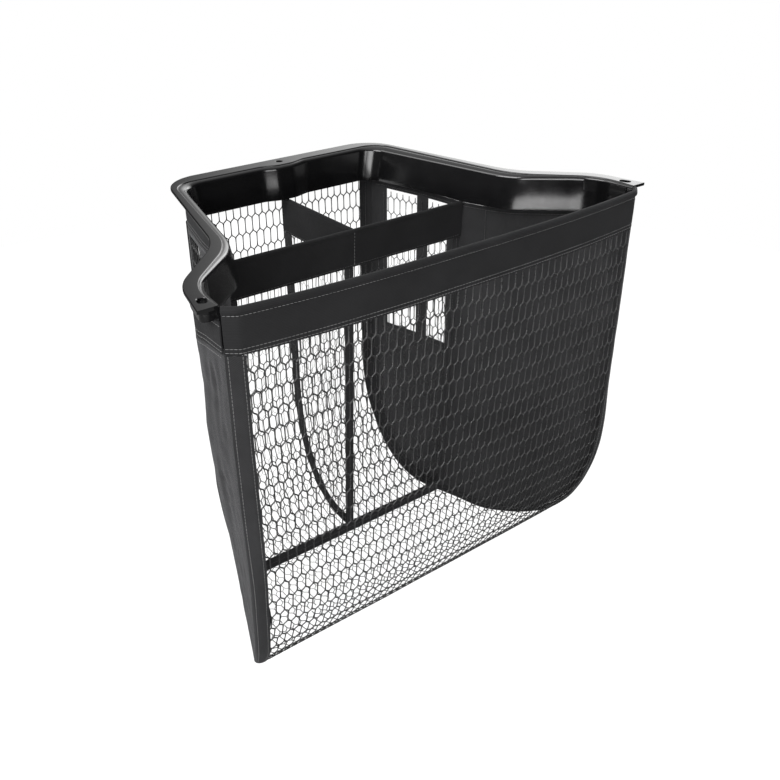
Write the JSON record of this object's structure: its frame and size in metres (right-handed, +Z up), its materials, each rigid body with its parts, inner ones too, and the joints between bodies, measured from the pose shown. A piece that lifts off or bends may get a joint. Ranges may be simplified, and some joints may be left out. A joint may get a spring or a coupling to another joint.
{
  "type": "hanging mesh cargo basket",
  "caption": "Deep mesh and fabric storage basket hung from a moulded plastic rim, with flared front, open-front rim, sewn bands and net dividers.",
  "frame": {"origin": "centre of the opening that the basket hangs in, in the plane of the underside of the rim flange (the plane that rests on the vehicle panel)", "axes": "+X to the right across the basket, +Y from the open front of the rim to its back, +Z up out of the basket"},
  "size_m": [0.5004, 0.326, 0.4278],
  "materials": {
    "rim_plastic": "gloss black injection-moulded plastic",
    "webbing": "matt charcoal polyester hem fabric, folded and stitched",
    "net": "black knitted polyester hexagonal net",
    "gusset_cloth": "dark grey woven polyester, slightly wrinkled",
    "binding_tape": "charcoal woven binding tape with a stitch line",
    "rod_plastic": "plain black extruded rod, hidden in the front hem"
  },
  "bodies": {
    "root": {"rim_frame": "rim_plastic", "front_band": "webbing", "left_side_band": "webbing", "right_side_band": "webbing", "back_band": "webbing", "long_divider_band": "webbing", "short_divider_band": "webbing", "front_hem_rod": "rod_plastic", "front_net": "net", "bottom_net": "net", "back_net": "net", "left_front_window_net": "net", "left_rear_window_net": "net", "right_front_window_net": "net", "right_rear_window_net": "net", "long_divider_net_left": "net", "long_divider_net_right": "net", "short_divider_net": "net", "left_gusset": "gusset_cloth", "right_gusset": "gusset_cloth", "left_front_corner_binding": "binding_tape", "right_front_corner_binding": "binding_tape", "left_back_corner_binding": "binding_tape", "right_back_corner_binding": "binding_tape", "divider_joint_binding": "binding_tape", "long_divider_bottom_binding": "binding_tape", "long_divider_left_binding": "binding_tape", "long_divider_right_binding": "binding_tape", "short_divider_curved_binding": "binding_tape"}
  },
  "joints": []
}
